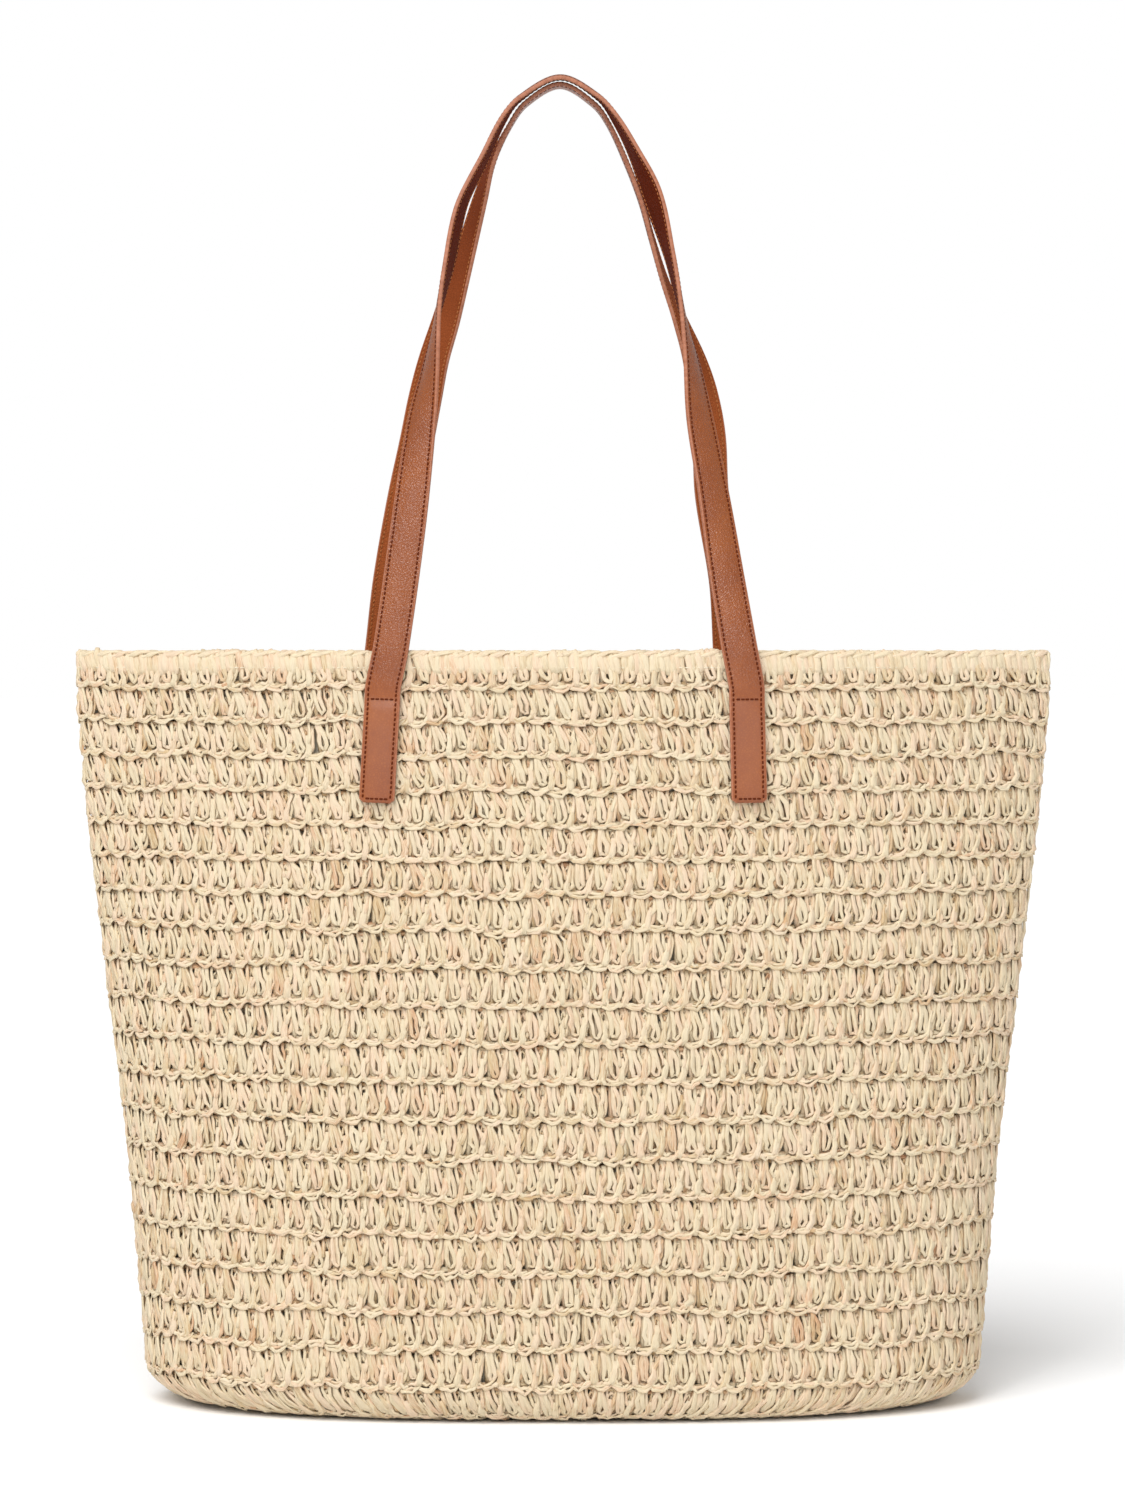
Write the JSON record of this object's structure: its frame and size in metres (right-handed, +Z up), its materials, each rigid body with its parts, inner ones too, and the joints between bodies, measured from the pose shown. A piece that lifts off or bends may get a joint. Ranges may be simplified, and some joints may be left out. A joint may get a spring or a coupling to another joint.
{
  "type": "beach bag",
  "caption": "Wide crocheted paper-straw tote with an open mouth, a flat oval base, a cloth lining and long stitched leather-look handles that fold down.",
  "frame": {"origin": "middle of the flat base, on the surface that the bag stands on", "axes": "+Z up, -Y the front, +X to the right of someone who looks at the front"},
  "size_m": [0.488, 0.158, 0.6614],
  "materials": {
    "straw": "matte",
    "straw_edging": "matte",
    "lining_cloth": "matte",
    "hem_band": "matte",
    "patch_felt": "matte",
    "leather": "satin",
    "leather_back": "matte",
    "snap_brass": "satin",
    "snap_magnet": "satin"
  },
  "bodies": {
    "bag": {"crochet_wall": "straw", "crochet_base": "straw", "rim_edging": "straw_edging", "lining_wall": "lining_cloth", "lining_base": "lining_cloth", "lining_hem": "hem_band", "slip_pocket": "lining_cloth", "snap_socket_casing": "snap_brass", "snap_socket_magnet": "snap_magnet", "snap_socket_washer": "snap_brass", "snap_stud_plate": "snap_brass", "snap_stud_washer": "snap_brass", "front_left_tab_face": "leather", "front_left_tab_backing": "leather_back", "front_left_patch": "patch_felt", "front_right_tab_face": "leather", "front_right_tab_backing": "leather_back", "front_right_patch": "patch_felt", "back_left_tab_face": "leather", "back_left_tab_backing": "leather_back", "back_left_patch": "patch_felt", "back_right_tab_face": "leather", "back_right_tab_backing": "leather_back", "back_right_patch": "patch_felt"},
    "front_handle": {"front_handle_face": "leather", "front_handle_backing": "leather_back"},
    "back_handle": {"back_handle_face": "leather", "back_handle_backing": "leather_back"}
  },
  "joints": [
    {"name": "front_handle_swing", "type": "hinge", "parent": "bag", "child": "front_handle", "pos_m": [0, -0.0616, 0.35], "axis": [1, 0, 0], "range_deg": [0, 170]},
    {"name": "back_handle_swing", "type": "hinge", "parent": "bag", "child": "back_handle", "pos_m": [0, 0.0616, 0.35], "axis": [-1, 0, 0], "range_deg": [0, 170]}
  ]
}
